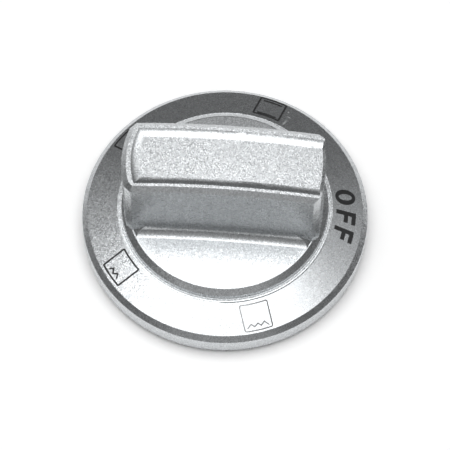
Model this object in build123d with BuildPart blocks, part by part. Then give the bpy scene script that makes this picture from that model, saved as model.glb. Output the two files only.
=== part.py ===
from build123d import *
import os
from math import asin, cos, degrees, radians, sqrt, tan

# Oven selector knob: a grip moulding snapped into a printed dial ring, with a spring on its shaft boss.
# Millimetres. The origin is on the shaft axis, in the plane of the skirt's rim that faces the panel.
# +Z points away from the panel, and +X runs along the grip bar to its pointer end.

# Dial ring, the printed skirt
skirt_diameter = 55.0
skirt_edge_height = 3.2
skirt_bevel_width = 1.0
skirt_bevel_height = 0.95
dial_slope = 21.0
dial_bore = 40.5
dial_edge_round = 0.3
ring_wall = 2.0
ring_edge_round = 0.2
ring_rib_count = 12
ring_rib_thickness = 1.2
ring_rib_setback = 0.8

# Ledge inside the dial ring, which carries the grip
ledge_bore = 33.0
ledge_thickness = 1.6
ledge_setback = 1.6

# Centre disc of the grip, with a fine lip along the parting line
seam_gap = 0.1
lip_width = 0.33
lip_rise = 0.08
lip_round = 0.1
disc_edge_height = 1.05
disc_bevel_width = 1.15
disc_bevel_height = 0.9
disc_edge_round = 0.15
plateau_round = 0.4
dome_rise = 1.1
disc_shell = 2.0
disc_wall = 1.8

# Grip bar: the tail end is an arc about the shaft axis, the nose is the pointer end
bar_width = 14.8
bar_top = 25.5
bar_crown_radius = 127.0
bar_tail = 19.4
bar_nose = 18.8
bar_nose_radius = 39.0
bar_corner = 1.2
bar_corner_round = 0.3
bar_foot_round = 2.1
bar_sink = 0.8
foot_sink = 0.05
foot_margin = 0.28
foot_trim = 0.15
bar_wall = 2.0

# Rim and channel on the bar's top; the channel is closed at the tail and open at the nose
rim_bevel_width = 0.92
rim_bevel_height = 0.75
rim_width = 0.6
channel_depth = 0.54
channel_round = 2.6
nose_bevel_width = 0.55
nose_bevel_height = 0.5

# Shaft boss with a socket that is round at its mouth and D-shaped further in
shaft_diameter = 6.0
shaft_flat_distance = 1.6
shaft_clearance = 0.05
boss_diameter = 10.0
boss_setback = 1.0
socket_depth = 16.0
guide_depth = 8.0
guide_clearance = 0.15
guide_taper = 1.5
boss_slot_width = 1.2
boss_slot_depth = 10.0
rib_thickness = 1.6
rib_setback = 4.6
rib_spacing = 9.0

# Shaft spring in its groove round the boss
spring_width = 4.0
spring_thickness = 0.6
spring_opening = 50.0
spring_setback = 1.3
spring_groove_depth = 0.3
spring_clearance = 0.05

# Snap hooks that hold the grip in the dial ring
hook_count = 4
hook_width = 6.0
hook_thickness = 1.6
hook_barb = 0.9
hook_barb_height = 0.9
hook_overlap = 0.2
hook_clearance = 0.1
hook_seat_clearance = 0.05

# Places worked out from the sizes above
skirt_radius = skirt_diameter / 2
bevel_radius = skirt_radius - skirt_bevel_width
bevel_top = skirt_edge_height + skirt_bevel_height
bore_radius = dial_bore / 2
ledge_radius = ledge_bore / 2
ledge_top = ledge_setback + ledge_thickness
disc_radius = bore_radius - seam_gap
disc_inside = disc_radius - disc_wall


def dial_height(radius):
    """Height of the printed face at a distance from the axis."""
    return bevel_top + (bevel_radius - radius) * tan(radians(dial_slope))


lip_top = dial_height(bore_radius) + lip_rise
edge_radius = disc_radius - lip_width
disc_edge_top = dial_height(bore_radius) + disc_edge_height
plateau_radius = edge_radius - disc_bevel_width
plateau_height = disc_edge_top + disc_bevel_height
disc_underside = plateau_height - disc_shell
dome_top = plateau_height + dome_rise
dome_radius = (plateau_radius**2 + dome_rise**2) / (2 * dome_rise)
dome_centre = dome_top - dome_radius

bar_half = bar_width / 2
bar_corner_y = bar_half - bar_corner
tail_corner_x = -sqrt(bar_tail**2 - bar_corner_y**2)
nose_corner_x = bar_nose - (bar_nose_radius - sqrt(bar_nose_radius**2 - bar_corner_y**2))
bar_root = plateau_height - bar_sink
crown_centre = bar_top - bar_crown_radius
bar_end_top = crown_centre + sqrt(bar_crown_radius**2 - bar_tail**2)
cavity_half = bar_half - bar_wall
cavity_ceiling = bar_end_top - channel_depth - disc_shell

boss_radius = boss_diameter / 2
socket_radius = shaft_diameter / 2 + shaft_clearance
guide_radius = shaft_diameter / 2 + guide_clearance
socket_flat = shaft_flat_distance + shaft_clearance
groove_radius = boss_radius - spring_groove_depth
spring_low = boss_setback + spring_setback
spring_inside = groove_radius + spring_clearance
hook_outside = disc_inside + hook_overlap
hook_inside = hook_outside - hook_thickness
hook_seat = ledge_setback - hook_seat_clearance


def dome_height(y):
    """Height of the domed disc on the line across the middle of the bar."""
    return dome_centre + sqrt(dome_radius**2 - y**2)


# Dial ring: a thin-walled ring with a trough underneath and a ledge round its bore
with BuildPart() as dial_ring:
    wall_drop = ring_wall / cos(radians(dial_slope))
    trough_inside = bore_radius + ring_wall
    trough_outside = skirt_radius - ring_wall
    ring_section = [
        (skirt_radius, 0),
        (skirt_radius, skirt_edge_height),
        (bevel_radius, bevel_top),
        (bore_radius, dial_height(bore_radius)),
        (bore_radius, ledge_top),
        (ledge_radius, ledge_top),
        (ledge_radius, ledge_setback),
        (trough_inside, ledge_setback),
        (trough_inside, dial_height(trough_inside) - wall_drop),
        (trough_outside, dial_height(trough_outside) - wall_drop),
        (trough_outside, 0),
    ]
    ring_rounds = [ring_edge_round] * len(ring_section)
    ring_rounds[ring_section.index((bore_radius, dial_height(bore_radius)))] = dial_edge_round
    with BuildSketch(Plane.XZ):
        with BuildLine():
            FilletPolyline(*ring_section, radius=ring_rounds, close=True)
        make_face()
    revolve(axis=Axis.Z)
    # Ribs across the trough, run a little way into its walls and its ceiling
    rib_top = dial_height(trough_inside) - wall_drop + 2 * ring_edge_round
    rib_length = trough_outside - trough_inside + ring_wall / 2
    with BuildSketch(Plane.XY.offset(ring_rib_setback)):
        with PolarLocations((trough_inside + trough_outside) / 2, ring_rib_count):
            Rectangle(rib_length, ring_rib_thickness)
    extrude(amount=rib_top - ring_rib_setback)
    # Notches in the ledge for the snap hooks
    notch_outside = hook_outside + hook_clearance
    notch_length = notch_outside - ledge_radius + hook_thickness
    with BuildSketch(Plane.XY.offset(ledge_setback - hook_clearance)):
        with PolarLocations(notch_outside - notch_length / 2, hook_count, start_angle=180 / hook_count):
            Rectangle(notch_length, hook_width + 2 * hook_clearance)
    extrude(amount=ledge_thickness + 2 * hook_clearance, mode=Mode.SUBTRACT)

# Channel cutter: the space above a crowned floor, with rounded lower edges
with BuildPart() as channel:
    mouth_inset = rim_bevel_width + rim_width
    # The rounding is deeper than the channel, so its straight side would stand a little outside the mouth
    mouth_spread = channel_round - sqrt(channel_round**2 - (channel_round - channel_depth) ** 2)
    channel_half = bar_half - mouth_inset + mouth_spread
    channel_tail = bar_tail - mouth_inset + mouth_spread
    channel_tail_x = -sqrt(channel_tail**2 - channel_half**2)
    with BuildSketch(Plane.XY.offset(bar_root)):
        with BuildLine():
            ThreePointArc(
                (channel_tail_x, channel_half), (-channel_tail, 0), (channel_tail_x, -channel_half)
            )
            Polyline(
                (channel_tail_x, -channel_half),
                (bar_nose + bar_width, -channel_half),
                (bar_nose + bar_width, channel_half),
                (channel_tail_x, channel_half),
            )
        make_face()
    extrude(amount=bar_top + bar_width - bar_root)
    with BuildSketch(Plane.XZ):
        with Locations((0, crown_centre)):
            Circle(bar_crown_radius - channel_depth)
    extrude(amount=bar_width, both=True, mode=Mode.SUBTRACT)
    fillet(channel.faces().sort_by(Axis.Z)[0].edges(), radius=channel_round)

# Nose cutter: the space above a bevel along the nose's arc, with the channel's rounded sides
with BuildPart() as relief:
    nose_centre = bar_nose - bar_nose_radius
    nose_start = bar_nose - nose_bevel_width
    nose_floor = crown_centre + sqrt((bar_crown_radius - channel_depth) ** 2 - nose_start**2)
    nose_fall = nose_bevel_height / nose_bevel_width
    with BuildSketch(Plane.XY.offset(bar_root)):
        with Locations((bar_nose, 0)):
            Rectangle(bar_half, 2 * channel_half)
    extrude(amount=bar_top + bar_width - bar_root)
    with BuildSketch(Plane.XZ):
        with BuildLine():
            Polyline(
                (nose_start - bar_half, bar_root),
                (nose_start - bar_half, nose_floor + bar_half * nose_fall),
                (nose_start + bar_half, nose_floor - bar_half * nose_fall),
                (nose_start + bar_half, bar_root),
                close=True,
            )
        make_face()
    revolve(axis=Axis((nose_centre, 0, 0), (0, 0, 1)), mode=Mode.SUBTRACT)
    bevel_sides = relief.faces().sort_by(Axis.Z)[0].edges()
    fillet(bevel_sides.filter_by(lambda edge: abs(edge.center().Y) > cavity_half), radius=channel_round)

# Bar blank: the plan drawn upwards, crowned along its length, bevelled and channelled on top
with BuildPart() as bar:
    with BuildSketch(Plane.XY.offset(bar_root)):
        with BuildLine():
            ThreePointArc((tail_corner_x, bar_corner_y), (-bar_tail, 0), (tail_corner_x, -bar_corner_y))
            Polyline(
                (tail_corner_x, -bar_corner_y),
                (tail_corner_x + bar_corner, -bar_half),
                (nose_corner_x - bar_corner, -bar_half),
                (nose_corner_x, -bar_corner_y),
            )
            ThreePointArc((nose_corner_x, -bar_corner_y), (bar_nose, 0), (nose_corner_x, bar_corner_y))
            Polyline(
                (nose_corner_x, bar_corner_y),
                (nose_corner_x - bar_corner, bar_half),
                (tail_corner_x + bar_corner, bar_half),
                (tail_corner_x, bar_corner_y),
            )
        make_face()
    extrude(amount=bar_top - bar_root)
    with BuildSketch(Plane.XZ):
        with Locations((0, crown_centre)):
            Circle(bar_crown_radius)
    extrude(amount=bar_width, both=True, mode=Mode.INTERSECT)
    crown = bar.faces().sort_by(Axis.Z)[-1]
    nose_edge_x = nose_corner_x - bar_corner
    rim_edges = crown.edges().filter_by(lambda edge: edge.center().X < nose_edge_x)
    chamfer(rim_edges, length=rim_bevel_width, length2=rim_bevel_height, reference=crown)
    fillet(bar.edges().filter_by(Axis.Z), radius=bar_corner_round)
    add(channel.part, mode=Mode.SUBTRACT)
    add(relief.part, mode=Mode.SUBTRACT)

# Foot of the bar: a hollow rounding along both sides, swept with the dome
with BuildPart() as foot:
    foot_low = dome_height(bar_half) - disc_shell / 2
    foot_high = dome_height(bar_half) + bar_foot_round
    foot_out = bar_half + bar_foot_round
    foot_end = dome_height(foot_out) - foot_sink
    # It stops short of the disc's rounded outer corner
    foot_reach = sqrt((edge_radius - foot_margin) ** 2 - foot_out**2)
    foot_sweep = degrees(asin(foot_reach / dome_radius))
    for side in (-1, 1):
        for turn in (-1, 1):
            with BuildSketch(Plane.YZ):
                with BuildLine():
                    Polyline(
                        (side * foot_out, foot_end),
                        (side * foot_out, foot_low),
                        (side * cavity_half, foot_low),
                        (side * cavity_half, foot_high),
                        (side * bar_half, foot_high),
                    )
                    TangentArc((side * bar_half, foot_high), (side * foot_out, foot_end), tangent=(0, -1))
                make_face()
            revolve(axis=Axis((0, 0, dome_centre), (0, turn, 0)), revolution_arc=foot_sweep)
    # A cone with the slope of the disc's bevel, a little inside it, trims the ends
    trim_radius = edge_radius - foot_trim
    trim_climb = bar_width / disc_bevel_width
    trim_top = disc_edge_top + trim_climb * disc_bevel_height
    with BuildSketch(Plane.XZ):
        with BuildLine():
            Polyline(
                (0, 0),
                (trim_radius, 0),
                (trim_radius, disc_edge_top),
                (trim_radius - trim_climb * disc_bevel_width, trim_top),
                (0, trim_top),
                close=True,
            )
        make_face()
    revolve(axis=Axis.Z, mode=Mode.INTERSECT)

# Grip: disc shell, bar, cavity, boss, ribs and hooks in one moulding
with BuildPart() as grip:
    with BuildSketch(Plane.XZ):
        with BuildLine():
            TangentArc((0, dome_top), (plateau_radius, plateau_height), tangent=(1, 0))
            FilletPolyline(
                (plateau_radius, plateau_height),
                (edge_radius, disc_edge_top),
                (edge_radius, lip_top),
                (disc_radius, lip_top),
                (disc_radius, ledge_top),
                (disc_inside, ledge_top),
                radius=[disc_edge_round, lip_round, lip_round, disc_edge_round],
            )
            Polyline(
                (disc_inside, ledge_top),
                (disc_inside, disc_underside),
                (0, disc_underside),
                (0, dome_top),
            )
        section = make_face()
        bevel_end = edge_radius - 2 * disc_edge_round
        plateau_edge = section.vertices().filter_by(lambda corner: disc_inside < corner.X < bevel_end)
        fillet(plateau_edge, radius=plateau_round)
    revolve(axis=Axis.Z)
    add(bar.part)
    add(foot.part)
    # Cavity of the bar, open towards the panel
    cavity_length = 2 * (min(-tail_corner_x, nose_corner_x) - bar_wall)
    with BuildSketch(Plane.XY.offset(ledge_top)):
        RectangleRounded(cavity_length, 2 * cavity_half, radius=bar_wall / 2)
    extrude(amount=cavity_ceiling - ledge_top, mode=Mode.SUBTRACT)
    # Boss
    with BuildSketch(Plane.XY.offset(boss_setback)):
        Circle(boss_radius)
    extrude(amount=cavity_ceiling + disc_shell / 2 - boss_setback)
    # Webs from the boss to the sides of the bar, above the boss's slot
    web_low = boss_setback + boss_slot_depth + rib_thickness
    with BuildSketch(Plane.XY.offset(web_low)):
        Rectangle(rib_thickness, bar_width - bar_wall)
    extrude(amount=cavity_ceiling + disc_shell / 2 - web_low)
    # Ribs from the bar's sides to the disc's edge
    for place in (-rib_spacing, 0, rib_spacing):
        rib_end = sqrt((disc_inside + disc_wall / 2) ** 2 - (abs(place) + rib_thickness / 2) ** 2)
        rib_start = bar_half - bar_wall / 2
        for side in (-1, 1):
            with BuildSketch(Plane.XY.offset(rib_setback)):
                with Locations((place, side * (rib_start + rib_end) / 2)):
                    Rectangle(rib_thickness, rib_end - rib_start)
            extrude(amount=disc_underside + disc_shell / 2 - rib_setback)
    # Socket: a round guide at its mouth, a taper, then a D shape for the flat on the shaft's tip
    with BuildSketch(Plane.XY.offset(boss_setback)):
        Circle(guide_radius)
    extrude(amount=guide_depth, mode=Mode.SUBTRACT)
    with Locations((0, 0, boss_setback + guide_depth)):
        Cone(
            guide_radius,
            socket_radius,
            guide_taper,
            align=(Align.CENTER, Align.CENTER, Align.MIN),
            mode=Mode.SUBTRACT,
        )
    with BuildSketch(Plane.XY.offset(boss_setback)):
        Circle(socket_radius)
        with Locations((socket_flat + socket_radius, 0)):
            Rectangle(2 * socket_radius, 2 * socket_radius, mode=Mode.SUBTRACT)
    extrude(amount=socket_depth, mode=Mode.SUBTRACT)
    # The slot that lets the boss flex, and the spring's groove
    with BuildSketch(Plane.XY.offset(boss_setback)):
        Rectangle(boss_diameter + bar_wall, boss_slot_width)
    extrude(amount=boss_slot_depth, mode=Mode.SUBTRACT)
    with BuildSketch(Plane.XY.offset(spring_low - spring_clearance)):
        Circle(boss_radius + bar_wall)
        Circle(groove_radius, mode=Mode.SUBTRACT)
    extrude(amount=spring_width + 2 * spring_clearance, mode=Mode.SUBTRACT)
    # Snap hooks: a stem through the ledge's notch and a barb under the ledge
    with BuildSketch(Plane.XY.offset(hook_seat - hook_barb_height)):
        with PolarLocations((hook_inside + hook_outside) / 2, hook_count, start_angle=180 / hook_count):
            Rectangle(hook_thickness, hook_width)
    extrude(amount=disc_underside + disc_shell / 2 - hook_seat + hook_barb_height)
    with BuildSketch(Plane.XY.offset(hook_seat - hook_barb_height)):
        with PolarLocations(hook_outside, hook_count, start_angle=180 / hook_count):
            Rectangle(2 * hook_barb, hook_width)
    extrude(amount=hook_barb_height)

# Shaft spring: an open steel ring in the boss's groove
with BuildPart() as shaft_spring:
    with BuildSketch(Plane.XY.offset(spring_low)):
        Circle(spring_inside + spring_thickness)
        Circle(spring_inside, mode=Mode.SUBTRACT)
        opening_half = 2 * boss_diameter * tan(radians(spring_opening / 2))
        with BuildLine():
            Polyline(
                (0, 0),
                (-2 * boss_diameter, -opening_half),
                (-2 * boss_diameter, opening_half),
                close=True,
            )
        make_face(mode=Mode.SUBTRACT)
    extrude(amount=spring_width)

os.makedirs("parts", exist_ok=True)
grip.part.label = "grip"
export_step(grip.part, "parts/grip.step")
dial_ring.part.label = "dial_ring"
export_step(dial_ring.part, "parts/dial_ring.step")
shaft_spring.part.label = "shaft_spring"
export_step(shaft_spring.part, "parts/shaft_spring.step")
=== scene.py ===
"""Looks of the oven selector knob: silver lacquer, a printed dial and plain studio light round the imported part."""

from math import cos, radians, sin, tan, tau

import bmesh
import bpy
from mathutils import Matrix, Vector


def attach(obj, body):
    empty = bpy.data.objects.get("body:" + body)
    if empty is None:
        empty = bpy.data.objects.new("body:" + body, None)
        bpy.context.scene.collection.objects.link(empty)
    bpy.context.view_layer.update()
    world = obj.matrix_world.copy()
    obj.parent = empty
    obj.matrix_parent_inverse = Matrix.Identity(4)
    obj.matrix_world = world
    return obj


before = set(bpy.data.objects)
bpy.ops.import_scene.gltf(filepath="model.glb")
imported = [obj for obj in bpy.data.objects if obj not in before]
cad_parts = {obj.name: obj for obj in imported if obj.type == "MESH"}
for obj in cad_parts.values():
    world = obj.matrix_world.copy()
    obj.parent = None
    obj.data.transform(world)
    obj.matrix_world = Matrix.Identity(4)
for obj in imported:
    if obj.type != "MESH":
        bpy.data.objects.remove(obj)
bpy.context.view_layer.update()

MM = 0.001

# Dial face, as in the part's source
bevel_radius = 26.5 * MM
bevel_top = 4.15 * MM
dial_slope = radians(21.0)

# Where the mouldings are hollow, so that the spray doesn't reach
hollow_half_length = 17.0 * MM
hollow_half_width = 6.0 * MM
hollow_roof = 23.2 * MM
disc_inside_radius = 18.3 * MM
disc_inside_top = 7.75 * MM
ring_inside_radius = 26.0 * MM
ring_wall = 0.9 * MM

# Range that most of a noise pattern's values lie in
noise_low, noise_high = 0.3, 0.7

# Silver lacquer over grey plastic: flakes and patches per metre, how far a flake tilts, colours and roughness
flake_scale = 7500
flake_tilt = 0.055
flake_dark = (0.46, 0.477, 0.49)
flake_bright = (0.74, 0.76, 0.775)
worn_colour = (0.8, 0.81, 0.82)
plastic_colour = (0.3, 0.305, 0.31)
lacquer_roughness = 0.22
patch_scale = 900
patch_detail = 2
patch_roughness = 0.1
plastic_roughness = 0.25

# Wear on the dial: centre, half length and half width of each mark in millimetres, and the way it runs in degrees
wear_marks = (
    ((10.21, 19.44, 5.89), 1.0, 0.12, 62.3),
    ((10.76, 22.46, 4.76), 0.2, 0.15, 62.3),
    ((10.98, 21.06, 5.21), 0.5, 0.09, -27.5),
)

# Printing ink: grain per metre, colours, roughness and relief, and a painted highlight on the sign in front: its
# pale colour, the X at which it starts and ends, and its least and most share
ink_grain = 6000
ink_grain_detail = 1
ink_dark = (0.009, 0.009, 0.01)
ink_light = (0.02, 0.02, 0.021)
ink_roughness = 0.3
ink_grain_roughness = 0.2
ink_relief = 0.3
ink_relief_depth = 0.004 * MM
glare_colour = (0.62, 0.63, 0.64)
glare_from, glare_to = 9.6 * MM, 4.4 * MM
glare_least, glare_most = 0.2, 0.75

# Spring steel: streaks per metre, how much finer they are across the strip, colours, roughness and relief
streak_scale = 700
streak_detail = 2
streak_squeeze = 14
steel_dark = (0.5, 0.5, 0.5)
steel_light = (0.66, 0.66, 0.65)
steel_roughness = 0.2
streak_roughness = 0.16
streak_relief = 0.4
streak_relief_depth = 0.006 * MM

# Printed legend: five places round the dial, turned a little against the bar
legend_turn = 0.6
legend_radius = 23.7 * MM
legend_line = 0.35 * MM
faded_line = 0.24 * MM
ink_height = 0.02 * MM
ink_sink = 0.03 * MM
bend_step = 0.5 * MM
bend_reach = 6
bend_snap = 0.01 * MM

# Oven signs: frame, straight elements, and the corners of the zigzag grills in millimetres
sign_width = 5.6 * MM
sign_height = 5.3 * MM
sign_corner = 0.4 * MM
sign_corner_steps = 4
element_half = 1.95 * MM
outer_element = 1.75 * MM
inner_element = -2.05 * MM
grill_spread = 1.35
half_grill = ((1.27, 1.86), (0.75, 1.2), (0.01, 1.8), (-0.68, 1.16), (-1.36, 1.94))
full_grill = ((2.16, 2.01), (1.29, 1.23), (0.72, 1.79), (0, 1.25), (-0.56, 1.79), (-1.31, 1.19), (-2.11, 2.1))

# Letters; the hole of the O is a share of its outline
letter_rise = -0.47 * MM
o_half_width, o_half_height = 1.67 * MM, 2.1 * MM
o_hole_width, o_hole_height = 0.42, 0.66
o_steps = 64
o_first_inset = 0.01 * MM
f_half_width, f_half_height = 1.3 * MM, 2.04 * MM
f_stroke, f_waist_arm = 0.86 * MM, 2.4 * MM

# Lacquer that bridges the parting line: radius and height along its closed section, in millimetres
seam_section = ((20.06, 6.3), (20.06, 6.6), (20.16, 6.5), (20.3, 6.5), (20.46, 6.46), (20.46, 6.2))
seam_steps = 180

# Camera, fitted to the photograph
view_azimuth = radians(4.2)
view_elevation = radians(62.53)
view_distance = 580.6 * MM
view_lens = 240.0
view_drop = 0.652 * MM
view_nearest = 10 * MM

# Studio light: a soft box overhead with a soft edge, and a weak fill in front; place, tilt, size and power
lamps = {
    "back_lamp": ((-0.05, 0.2, 0.9), 0, (1.15, 0.44), 3.9),
    "front_lamp": ((-0.05, -0.22, 0.9), 0, (1.15, 0.4), 3.1),
    "soft_edge": ((-0.05, 0, 0.9), 0, (2.0, 1.8), 4.0),
    "front_fill": ((0, -1.1, 0.72), radians(57), (1.6, 0.7), 0.7),
}
room_grey = 0.15

# White table: its colour to the light and to the eye, and how far it lies below the skirt's rim
floor_white = 0.9
floor_seen = 1.16
floor_roughness = 0.6
floor_half = 3.0
floor_drop = 1.2 * MM


def link_piece(name, bm, material):
    """Makes a mesh object of a finished bmesh, in place, with one material."""
    mesh = bpy.data.meshes.new(name)
    bm.to_mesh(mesh)
    bm.free()
    piece = bpy.data.objects.new(name, mesh)
    piece.data.materials.append(material)
    bpy.context.scene.collection.objects.link(piece)
    return piece


def only_verts(geometry):
    """The vertices among the parts that a mesh operator returns."""
    return [part for part in geometry if isinstance(part, bmesh.types.BMVert)]


def drop_middle(bm, hole=None):
    """Deletes the face in the middle, after scaling it to a share of its size if one is given."""
    middle = min(bm.faces, key=lambda face: face.calc_center_median().length)
    if hole:
        bmesh.ops.scale(bm, vec=(*hole, 1), verts=middle.verts[:])
    bmesh.ops.delete(bm, geom=[middle], context="FACES_ONLY")


# Shader nodes

def new_material(name):
    """A node material with a Principled shader; returns the material, its nodes, links and shader."""
    material = bpy.data.materials.new(name)
    material.use_nodes = True
    nodes = material.node_tree.nodes
    return material, nodes, material.node_tree.links, nodes["Principled BSDF"]


def add_noise(nodes, links, vector, scale, detail):
    """A noise pattern on the given coordinates; returns its value."""
    noise = nodes.new("ShaderNodeTexNoise")
    noise.inputs["Scale"].default_value = scale
    noise.inputs["Detail"].default_value = detail
    links.new(vector, noise.inputs["Vector"])
    return noise.outputs["Fac"]


def add_math(nodes, links, operation, first, second):
    """One sum, product or comparison; each side is an output or a number."""
    step = nodes.new("ShaderNodeMath")
    step.operation = operation
    for socket, value in zip(step.inputs, (first, second)):
        if isinstance(value, (int, float)):
            socket.default_value = value
        else:
            links.new(value, socket)
    return step.outputs["Value"]


def add_spread(nodes, links, pattern, spread, least):
    """A least value, and more of it where the pattern is high."""
    return add_math(nodes, links, "ADD", add_math(nodes, links, "MULTIPLY", pattern, spread), least)


def add_ramp(nodes, links, value, stops):
    """Colours along a value, from (place, colour) stops."""
    ramp = nodes.new("ShaderNodeValToRGB")
    for element, (position, colour) in zip(ramp.color_ramp.elements, stops):
        element.position = position
        element.color = (*colour, 1)
    links.new(value, ramp.inputs["Fac"])
    return ramp.outputs["Color"]


def add_mix(nodes, links, share, first, second):
    """The first colour, and the second one by its share; the numbers are the node's colour sockets."""
    mix = nodes.new("ShaderNodeMix")
    mix.data_type = "RGBA"
    links.new(share, mix.inputs[0])
    links.new(first, mix.inputs[6])
    mix.inputs[7].default_value = (*second, 1)
    return mix.outputs[2]


def add_bump(nodes, links, shader, height, strength, distance):
    """Fine relief of a finish."""
    bump = nodes.new("ShaderNodeBump")
    bump.inputs["Strength"].default_value = strength
    bump.inputs["Distance"].default_value = distance
    links.new(height, bump.inputs["Height"])
    links.new(bump.outputs["Normal"], shader.inputs["Normal"])


def add_flakes(nodes, links, shader, place):
    """Small flakes that each tilt their own way; returns a shade of each flake."""
    cells = nodes.new("ShaderNodeTexVoronoi")
    cells.inputs["Scale"].default_value = flake_scale
    links.new(place, cells.inputs["Vector"])
    turn = nodes.new("ShaderNodeVectorMath")
    turn.operation = "MULTIPLY_ADD"
    turn.inputs[1].default_value = (2 * flake_tilt, 2 * flake_tilt, 2 * flake_tilt)
    turn.inputs[2].default_value = (-flake_tilt, -flake_tilt, -flake_tilt)
    links.new(cells.outputs["Color"], turn.inputs[0])
    lean = nodes.new("ShaderNodeVectorMath")
    links.new(nodes.new("ShaderNodeNewGeometry").outputs["Normal"], lean.inputs[0])
    links.new(turn.outputs["Vector"], lean.inputs[1])
    straight = nodes.new("ShaderNodeVectorMath")
    straight.operation = "NORMALIZE"
    links.new(lean.outputs["Vector"], straight.inputs[0])
    links.new(straight.outputs["Vector"], shader.inputs["Normal"])
    shade = nodes.new("ShaderNodeSeparateColor")
    links.new(cells.outputs["Color"], shade.inputs["Color"])
    return shade.outputs["Red"]


def inside_share(nodes, links, place):
    """1 in the hollows behind the bar, the disc and the skirt, which the spray doesn't reach."""
    split = nodes.new("ShaderNodeSeparateXYZ")
    links.new(place, split.inputs["Vector"])
    level = split.outputs["Z"]
    squares = [add_math(nodes, links, "POWER", split.outputs[axis], 2) for axis in "XY"]
    radius = add_math(nodes, links, "SQRT", add_math(nodes, links, "ADD", *squares), 0)

    def below(value, limit):
        return add_math(nodes, links, "LESS_THAN", value, limit)

    def both(first, second):
        return add_math(nodes, links, "MULTIPLY", first, second)

    def either(first, second):
        return add_math(nodes, links, "MAXIMUM", first, second)

    in_plan = both(below(squares[0], hollow_half_length**2), below(squares[1], hollow_half_width**2))
    in_bar = both(in_plan, below(level, hollow_roof))
    in_disc = both(below(radius, disc_inside_radius), below(level, disc_inside_top))
    apex = bevel_top + bevel_radius * tan(dial_slope) - ring_wall
    face_height = add_spread(nodes, links, radius, -tan(dial_slope), apex)
    in_ring = both(below(radius, ring_inside_radius), below(level, face_height))
    in_ring = both(in_ring, below(disc_inside_radius, radius))
    return either(either(in_bar, in_disc), in_ring)


def wear_share(nodes, links, place):
    """How far the lacquer is rubbed off, in a few short marks that taper to their ends."""
    share = None
    for centre, half_length, half_width, way in wear_marks:
        mapping = nodes.new("ShaderNodeMapping")
        mapping.vector_type = "TEXTURE"
        mapping.inputs["Location"].default_value = [c * MM for c in centre]
        mapping.inputs["Rotation"].default_value = (0, 0, radians(way))
        mapping.inputs["Scale"].default_value = (half_length * MM, half_width * MM, half_length * MM)
        links.new(place, mapping.inputs["Vector"])
        gradient = nodes.new("ShaderNodeTexGradient")
        gradient.gradient_type = "SPHERICAL"
        links.new(mapping.outputs["Vector"], gradient.inputs["Vector"])
        mark = gradient.outputs["Fac"]
        share = mark if share is None else add_math(nodes, links, "MAXIMUM", share, mark)
    return share


# Finishes

def silver_lacquer():
    """Metallic lacquer over grey plastic: flakes that catch the light one by one, with wear on the dial."""
    material, nodes, links, shader = new_material("silver_lacquer")
    place = nodes.new("ShaderNodeTexCoord").outputs["Object"]
    flakes = add_flakes(nodes, links, shader, place)
    worn = wear_share(nodes, links, place)
    bare = inside_share(nodes, links, place)
    colour = add_ramp(nodes, links, flakes, ((0, flake_dark), (1, flake_bright)))
    colour = add_mix(nodes, links, worn, colour, worn_colour)
    links.new(add_mix(nodes, links, bare, colour, plastic_colour), shader.inputs["Base Color"])
    plain = add_math(nodes, links, "MAXIMUM", worn, bare)
    links.new(add_math(nodes, links, "SUBTRACT", 1, plain), shader.inputs["Metallic"])
    patches = add_noise(nodes, links, place, patch_scale, patch_detail)
    uneven = add_math(nodes, links, "MULTIPLY", patches, patch_roughness)
    matt = add_math(nodes, links, "MULTIPLY", plain, plastic_roughness)
    added = add_math(nodes, links, "ADD", uneven, matt)
    links.new(add_math(nodes, links, "ADD", added, lacquer_roughness), shader.inputs["Roughness"])
    return material


def legend_ink(name, painted_glare=False):
    """Dark printing ink, slightly glossy and grained by the printing screen; it may carry a painted highlight that
    lightens it along X.
    """
    material, nodes, links, shader = new_material(name)
    place = nodes.new("ShaderNodeTexCoord").outputs["Object"]
    grain = add_noise(nodes, links, place, ink_grain, ink_grain_detail)
    colour = add_ramp(nodes, links, grain, ((noise_low, ink_dark), (noise_high, ink_light)))
    # Painted highlight: a pale grey mixed into the ink along X, stronger towards smaller X, as glare on the sign in
    # front
    if painted_glare:
        split = nodes.new("ShaderNodeSeparateXYZ")
        links.new(place, split.inputs["Vector"])
        fade = nodes.new("ShaderNodeMapRange")
        fade.inputs["From Min"].default_value = glare_from
        fade.inputs["From Max"].default_value = glare_to
        fade.inputs["To Min"].default_value = glare_least
        fade.inputs["To Max"].default_value = glare_most
        links.new(split.outputs["X"], fade.inputs["Value"])
        colour = add_mix(nodes, links, fade.outputs["Result"], colour, glare_colour)
    links.new(colour, shader.inputs["Base Color"])
    links.new(add_spread(nodes, links, grain, ink_grain_roughness, ink_roughness), shader.inputs["Roughness"])
    add_bump(nodes, links, shader, grain, ink_relief, ink_relief_depth)
    return material


def spring_steel():
    """Rolled spring steel: fine streaks round the ring."""
    material, nodes, links, shader = new_material("spring_steel")
    shader.inputs["Metallic"].default_value = 1.0
    mapping = nodes.new("ShaderNodeMapping")
    mapping.inputs["Scale"].default_value = (1, 1, streak_squeeze)
    links.new(nodes.new("ShaderNodeTexCoord").outputs["Object"], mapping.inputs["Vector"])
    streaks = add_noise(nodes, links, mapping.outputs["Vector"], streak_scale, streak_detail)
    colour = add_ramp(nodes, links, streaks, ((noise_low, steel_dark), (noise_high, steel_light)))
    links.new(colour, shader.inputs["Base Color"])
    links.new(add_spread(nodes, links, streaks, streak_roughness, steel_roughness), shader.inputs["Roughness"])
    add_bump(nodes, links, shader, streaks, streak_relief, streak_relief_depth)
    return material


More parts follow.
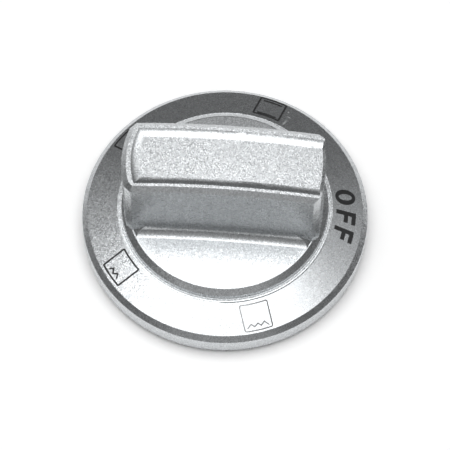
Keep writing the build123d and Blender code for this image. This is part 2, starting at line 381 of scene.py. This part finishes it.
def white_table():
    """White paint, which the eye and reflections see brighter than the light does."""
    material, nodes, links, shader = new_material("white_table")
    rays = nodes.new("ShaderNodeLightPath").outputs
    seen = add_math(nodes, links, "MAXIMUM", rays["Is Camera Ray"], rays["Is Glossy Ray"])
    seen = add_math(nodes, links, "MAXIMUM", seen, rays["Is Transmission Ray"])
    links.new(add_spread(nodes, links, seen, floor_seen - floor_white, floor_white), shader.inputs["Base Color"])
    shader.inputs["Roughness"].default_value = floor_roughness
    return material


# Printed legend

def print_on_dial(bm, azimuth, middle):
    """Gives a flat shape its ink thickness and lays it on the dial's cone about a middle radius, top outwards."""
    for step in range(-bend_reach, bend_reach + 1):
        bmesh.ops.bisect_plane(
            bm,
            geom=bm.verts[:] + bm.edges[:] + bm.faces[:],
            dist=bend_snap,
            plane_co=(step * bend_step, 0, 0),
            plane_no=(1, 0, 0),
        )
    raised = bmesh.ops.extrude_face_region(bm, geom=bm.faces[:])["geom"]
    bmesh.ops.translate(bm, vec=(0, 0, ink_height + ink_sink), verts=only_verts(raised))
    bmesh.ops.recalc_face_normals(bm, faces=bm.faces[:])
    for vert in bm.verts:
        across, along, height = vert.co
        radius = middle + along * cos(dial_slope)
        lift = height - ink_sink
        turn = azimuth - across / radius
        outwards = radius + lift * sin(dial_slope)
        level = bevel_top + (bevel_radius - radius) * tan(dial_slope) + lift * cos(dial_slope)
        vert.co = (outwards * cos(turn), outwards * sin(turn), level)


def add_sign_frame(bm, line=legend_line):
    """The square outline of an oven sign, with rounded corners."""
    bmesh.ops.create_grid(bm, x_segments=1, y_segments=1, size=0.5)
    bmesh.ops.scale(bm, vec=(sign_width, sign_height, 1), verts=bm.verts[:])
    bmesh.ops.bevel(
        bm,
        geom=bm.verts[:],
        offset=sign_corner,
        segments=sign_corner_steps,
        profile=0.5,
        affect="VERTICES",
        material=-1,
    )
    bmesh.ops.inset_region(bm, faces=bm.faces[:], thickness=line, use_even_offset=True, use_boundary=True)
    drop_middle(bm)


def add_element(bm, height):
    """A straight heating element at a height in the sign."""
    bar = bmesh.ops.create_grid(bm, x_segments=1, y_segments=1, size=0.5)["verts"]
    bmesh.ops.scale(bm, vec=(2 * element_half, legend_line, 1), verts=bar)
    bmesh.ops.translate(bm, vec=(0, height, 0), verts=bar)


def add_grill(bm, points, line=legend_line):
    """A zigzag grill element, drawn out to a line of even width."""
    width = grill_spread * line
    corners = [bm.verts.new((x * MM, y * MM - width / 2, 0)) for x, y in points]
    edges = [bm.edges.new(pair) for pair in zip(corners, corners[1:])]
    widened = bmesh.ops.extrude_edge_only(bm, edges=edges)["geom"]
    bmesh.ops.translate(bm, vec=(0, width, 0), verts=only_verts(widened))


def draw_top_and_bottom_heat(bm):
    """A sign with an element at each end."""
    add_sign_frame(bm)
    add_element(bm, outer_element)
    add_element(bm, inner_element)


def draw_bottom_heat(bm):
    """A sign with one element, at the end nearer to the bar."""
    add_sign_frame(bm)
    add_element(bm, inner_element)


def draw_half_grill(bm):
    """A sign with a short grill."""
    add_sign_frame(bm)
    add_grill(bm, half_grill)


def draw_full_grill(bm):
    """A sign with a wide grill, in thin lines."""
    add_sign_frame(bm, faded_line)
    add_grill(bm, full_grill, faded_line)


def draw_letter_o(bm):
    """A capital O: an upright oval whose sides are heavier than its ends."""
    bmesh.ops.create_circle(bm, segments=o_steps, radius=1, cap_ends=True)
    bmesh.ops.scale(bm, vec=(o_half_width, o_half_height, 1), verts=bm.verts[:])
    bmesh.ops.inset_region(bm, faces=bm.faces[:], thickness=o_first_inset, use_even_offset=True, use_boundary=True)
    drop_middle(bm, (o_hole_width, o_hole_height))
    bmesh.ops.translate(bm, vec=(0, letter_rise, 0), verts=bm.verts[:])


def draw_letter_f(bm):
    """A capital F in plain bold strokes."""
    left, right, top = -f_half_width, f_half_width, f_half_height
    stem, arm, waist = left + f_stroke, left + f_waist_arm, f_stroke / 2
    outline = (
        (left, -top), (stem, -top), (stem, -waist), (arm, -waist), (arm, waist),
        (stem, waist), (stem, top - f_stroke), (right, top - f_stroke), (right, top), (left, top),
    )
    bm.faces.new([bm.verts.new((x, y, 0)) for x, y in outline])
    bmesh.ops.translate(bm, vec=(0, letter_rise, 0), verts=bm.verts[:])


# Each print: name, degrees round the dial, how it is drawn, how far it is shifted outwards, and its ink
ink = legend_ink("legend_ink")
# Ink with a painted highlight, for the sign in front
glare_ink = legend_ink("glare_ink", painted_glare=True)
prints = (
    ("legend_top_and_bottom_heat", 72, draw_top_and_bottom_heat, 0.26 * MM, ink),
    ("legend_bottom_heat", 144, draw_bottom_heat, -0.18 * MM, ink),
    ("legend_half_grill", 216, draw_half_grill, -0.18 * MM, ink),
    # The sign in front gets the ink with the painted highlight
    ("legend_full_grill", 288, draw_full_grill, -0.03 * MM, glare_ink),
    ("legend_off_o", 9.7, draw_letter_o, 0, ink),
    ("legend_off_f1", -1.1, draw_letter_f, 0, ink),
    ("legend_off_f2", -10.35, draw_letter_f, 0, ink),
)
for name, azimuth, draw, shift, finish in prints:
    bm = bmesh.new()
    draw(bm)
    print_on_dial(bm, radians(azimuth + legend_turn), legend_radius + shift)
    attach(link_piece(name, bm, finish), "root")

# Lacquer in the parting line
lacquer = silver_lacquer()
bm = bmesh.new()
section = [bm.verts.new((radius * MM, 0, height * MM)) for radius, height in seam_section]
edges = [bm.edges.new(pair) for pair in zip(section, section[1:] + section[:1])]
bmesh.ops.spin(
    bm, geom=section + edges, cent=(0, 0, 0), axis=(0, 0, 1), angle=tau, steps=seam_steps, use_merge=True
)
bmesh.ops.recalc_face_normals(bm, faces=bm.faces[:])
seam = link_piece("seam_lacquer", bm, lacquer)
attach(seam, "root")

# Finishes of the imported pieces
for node, finish in (("grip", lacquer), ("dial_ring", lacquer), ("shaft_spring", spring_steel())):
    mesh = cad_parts[node].data
    mesh.materials.clear()
    mesh.materials.append(finish)

# Floor, light and camera
bm = bmesh.new()
bmesh.ops.create_grid(bm, x_segments=1, y_segments=1, size=floor_half)
bmesh.ops.translate(bm, vec=(0, 0, -floor_drop), verts=bm.verts[:])
floor = link_piece("table", bm, white_table())

for name, (place, tilt, (width, depth), power) in lamps.items():
    lamp = bpy.data.objects.new(name, bpy.data.lights.new(name, "AREA"))
    lamp.data.shape = "RECTANGLE"
    lamp.data.size = width
    lamp.data.size_y = depth
    lamp.data.energy = power
    lamp.location = place
    lamp.rotation_euler = (tilt, 0, 0)
    bpy.context.scene.collection.objects.link(lamp)

world = bpy.data.worlds.new("room")
world.use_nodes = True
world.node_tree.nodes["Background"].inputs["Color"].default_value = (room_grey, room_grey, room_grey, 1)
bpy.context.scene.world = world
bpy.context.scene.view_settings.view_transform = "Standard"

level_share = cos(view_elevation)
back = Vector((sin(view_azimuth) * level_share, -cos(view_azimuth) * level_share, sin(view_elevation)))
right = Vector((cos(view_azimuth), sin(view_azimuth), 0))
upwards = back.cross(right)
camera = bpy.data.objects.new("camera", bpy.data.cameras.new("camera"))
camera.data.lens = view_lens
camera.data.clip_start = view_nearest
turned = Matrix((right, upwards, back)).transposed().to_4x4()
camera.matrix_world = Matrix.Translation(back * view_distance - upwards * view_drop) @ turned
bpy.context.scene.collection.objects.link(camera)
bpy.context.scene.camera = camera
